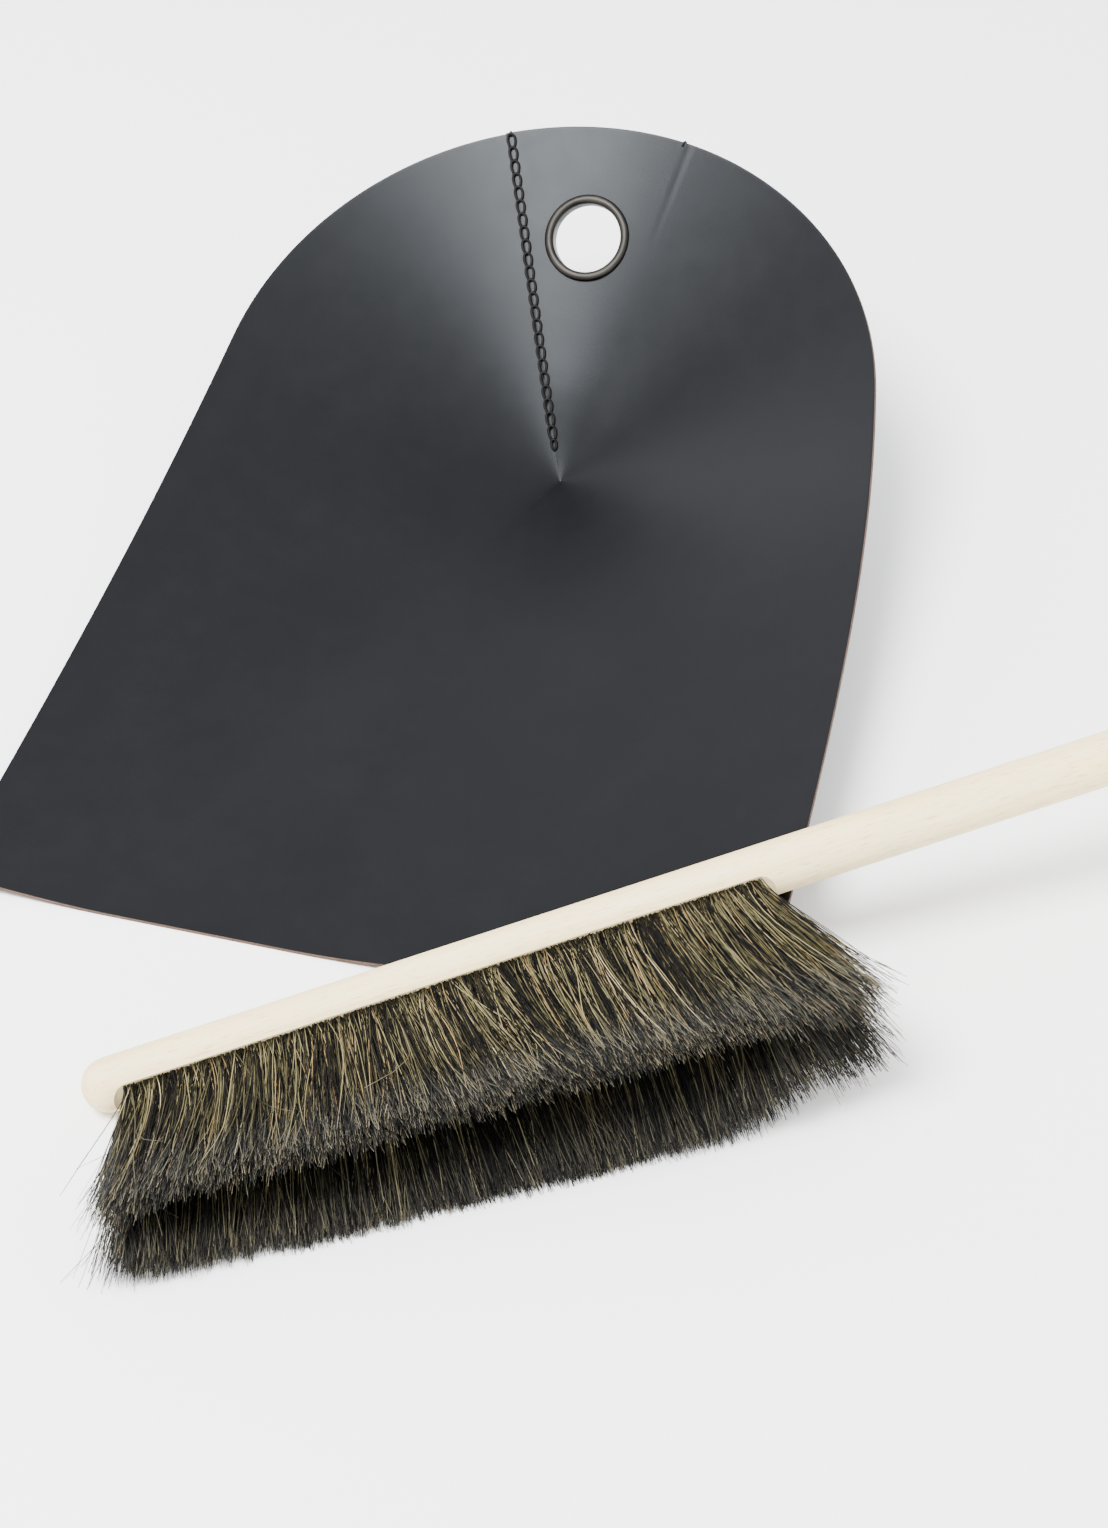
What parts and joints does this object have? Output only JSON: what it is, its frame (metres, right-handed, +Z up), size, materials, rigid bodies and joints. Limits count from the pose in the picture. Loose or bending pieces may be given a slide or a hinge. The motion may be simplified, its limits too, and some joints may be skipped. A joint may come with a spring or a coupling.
{
  "type": "dust pan and brush set",
  "caption": "Dust pan rolled from one arch-shaped sheet with a sewn overlap and a hanging eyelet, with a round-stick hand brush lying across its corner.",
  "frame": {"origin": "centre of the set's footprint on the floor", "axes": "+X to the right, toward the brush's handle end and along the set's longest extent; +Y toward the pan's rear wall; +Z up"},
  "size_m": [0.6501, 0.6064, 0.1334],
  "materials": {
    "leather": "smooth matt black with a raw tan cut edge",
    "gunmetal": "dark gunmetal, satin",
    "thread": "waxed black thread",
    "beech": "pale beech, fine sanded, uncoated",
    "hair": "mixed natural hair, dark with straw coloured strands"
  },
  "bodies": {
    "pan": {"pan_sheet": "leather", "eyelet": "gunmetal", "eyelet_washer": "gunmetal", "seam_thread": "thread"},
    "brush": {"brush_stock": "beech", "tufts_upper_01": "hair", "tufts_upper_02": "hair", "tufts_upper_03": "hair", "tufts_upper_04": "hair", "tufts_upper_05": "hair", "tufts_upper_06": "hair", "tufts_upper_07": "hair", "tufts_upper_08": "hair", "tufts_upper_09": "hair", "tufts_upper_10": "hair", "tufts_upper_11": "hair", "tufts_upper_12": "hair", "tufts_upper_13": "hair", "tufts_upper_14": "hair", "tufts_upper_15": "hair", "tufts_upper_16": "hair", "tufts_upper_17": "hair", "tufts_upper_18": "hair", "tufts_upper_19": "hair", "tufts_lower_01": "hair", "tufts_lower_02": "hair", "tufts_lower_03": "hair", "tufts_lower_04": "hair", "tufts_lower_05": "hair", "tufts_lower_06": "hair", "tufts_lower_07": "hair", "tufts_lower_08": "hair", "tufts_lower_09": "hair", "tufts_lower_10": "hair", "tufts_lower_11": "hair", "tufts_lower_12": "hair", "tufts_lower_13": "hair", "tufts_lower_14": "hair", "tufts_lower_15": "hair", "tufts_lower_16": "hair", "tufts_lower_17": "hair", "tufts_lower_18": "hair", "tufts_lower_19": "hair"}
  },
  "joints": [
    {"name": "brush_lift", "type": "slide", "parent": "pan", "child": "brush", "axis": [0, 0, 1], "range_m": [0, 0.25]}
  ]
}
